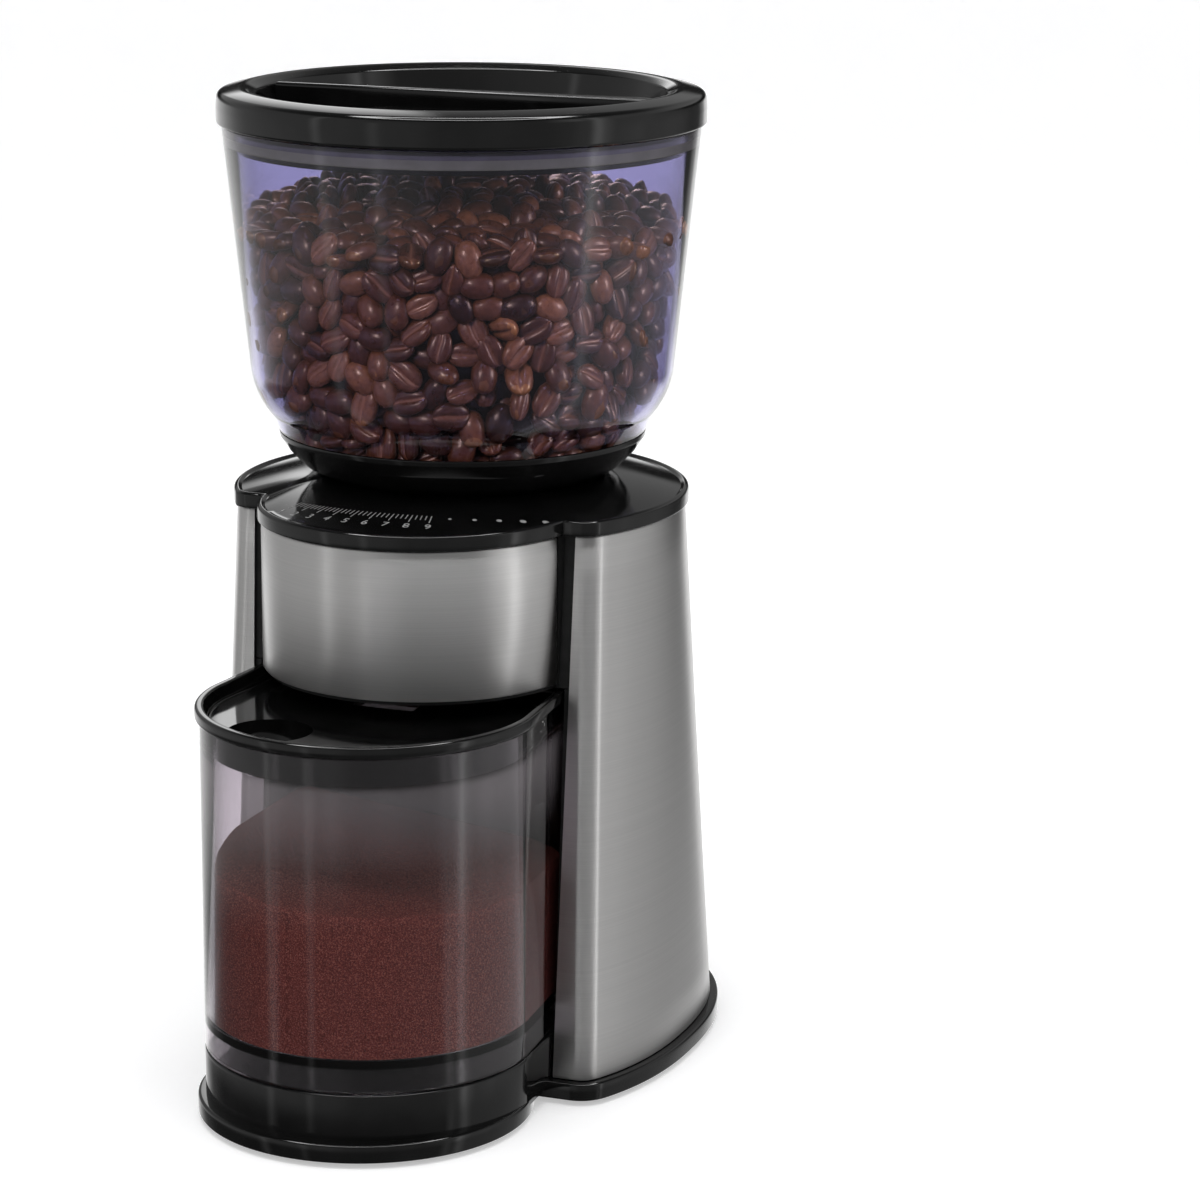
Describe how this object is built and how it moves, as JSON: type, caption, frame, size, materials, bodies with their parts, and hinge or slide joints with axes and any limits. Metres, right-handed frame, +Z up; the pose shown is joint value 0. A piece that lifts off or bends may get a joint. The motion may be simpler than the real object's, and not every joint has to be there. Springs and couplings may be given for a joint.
{
  "type": "burr coffee grinder",
  "caption": "Upright burr coffee grinder: clear bean hopper with a dished lid, brushed steel body, turning grind setting and a pull-out clear grounds container.",
  "frame": {"origin": "bottom centre of the bounding box, on the floor under the grinder", "axes": "+Z up through the hopper, -Y towards the grounds container (front), +X to the right seen from the front"},
  "size_m": [0.1525, 0.2172, 0.296],
  "materials": {
    "black_gloss": "glossy black moulded plastic",
    "black_satin": "satin black moulded plastic",
    "clear_smoke": "clear plastic with a violet smoke tint",
    "brushed_steel": "fine brushed stainless steel",
    "burr_steel": "hardened tool steel, ground",
    "zinc_plate": "zinc plated steel",
    "bronze": "sintered bronze",
    "white_nylon": "natural nylon",
    "rubber": "black rubber",
    "circuit_board": "green solder mask"
  },
  "bodies": {
    "body": {"base_tray": "black_gloss", "bottom_plate": "black_satin", "foot_front_left": "rubber", "foot_front_right": "rubber", "foot_rear_left": "rubber", "foot_rear_right": "rubber", "base_screw_front_left": "zinc_plate", "base_screw_front_right": "zinc_plate", "base_screw_rear_left": "zinc_plate", "base_screw_rear_right": "zinc_plate", "wrap_shell": "brushed_steel", "bay_liner": "black_satin", "front_panel": "brushed_steel", "head_frame": "black_satin", "head_floor": "black_satin", "deck_cover": "black_gloss", "outlet_chute": "black_satin", "burr_chamber": "black_satin", "drive_plate": "zinc_plate", "shaft_bush": "bronze", "motor_can": "zinc_plate", "magnet_ring": "burr_steel", "motor_end_bell": "black_satin", "motor_cradle": "black_satin", "rotary_timer": "black_satin", "start_switch": "black_satin", "timer_board": "circuit_board", "interlock_switch": "black_satin", "cord_gland": "rubber", "supply_lead": "rubber", "motor_lead": "rubber"},
    "adjuster": {"adjusting_ring": "white_nylon", "ring_burr": "burr_steel"},
    "hopper": {"hopper_bowl": "clear_smoke", "hopper_collar": "black_gloss"},
    "hopper_cover": {"hopper_lid": "black_gloss", "lid_seal": "rubber"},
    "container": {"container_bin": "clear_smoke", "container_lid": "black_gloss"},
    "dial": {"selector_dial": "black_gloss"},
    "button": {"start_button": "black_gloss"},
    "interlock": {"interlock_plunger": "black_satin"},
    "burrs": {"burr_gear": "white_nylon", "burr_shaft": "zinc_plate", "grounds_sweeper": "white_nylon", "cone_burr": "burr_steel"},
    "rotor": {"motor_shaft": "zinc_plate", "motor_pinion": "bronze", "rotor_core": "burr_steel", "cooling_fan": "white_nylon"}
  },
  "joints": [
    {"name": "grind_adjust", "type": "hinge", "parent": "body", "child": "adjuster", "pos_m": [0.00125, 0.0176, 0.17], "axis": [0, 0, 1], "range_deg": [-45, 45]},
    {"name": "hopper_lift", "type": "slide", "parent": "adjuster", "child": "hopper", "axis": [0, 0, 1], "range_m": [0, 0.04]},
    {"name": "hopper_lid_lift", "type": "slide", "parent": "hopper", "child": "hopper_cover", "axis": [0, 0, 1], "range_m": [0, 0.04]},
    {"name": "container_slide", "type": "slide", "parent": "body", "child": "container", "axis": [0, -1, 0], "range_m": [0, 0.13]},
    {"name": "dial_turn", "type": "hinge", "parent": "body", "child": "dial", "pos_m": [-0.07035, 0.0296, 0.092], "axis": [-1, 0, 0], "range_deg": [0, 270]},
    {"name": "start_press", "type": "slide", "parent": "body", "child": "button", "axis": [1, 0, 0], "range_m": [0, 0.002], "stiffness_N_per_m": 600},
    {"name": "interlock_press", "type": "slide", "parent": "body", "child": "interlock", "axis": [0, 1, 0], "range_m": [0, 0.0025], "stiffness_N_per_m": 300},
    {"name": "motor_spin", "type": "hinge", "parent": "body", "child": "rotor", "pos_m": [0.00125, 0.0536, 0.08], "axis": [0, 0, 1], "continuous": true},
    {"name": "burr_spin", "type": "hinge", "parent": "body", "child": "burrs", "pos_m": [0.00125, 0.0176, 0.15], "axis": [0, 0, 1], "continuous": true}
  ],
  "couplings": [
    {"joint": "burr_spin", "follows": "motor_spin", "ratio": -0.26316}
  ]
}
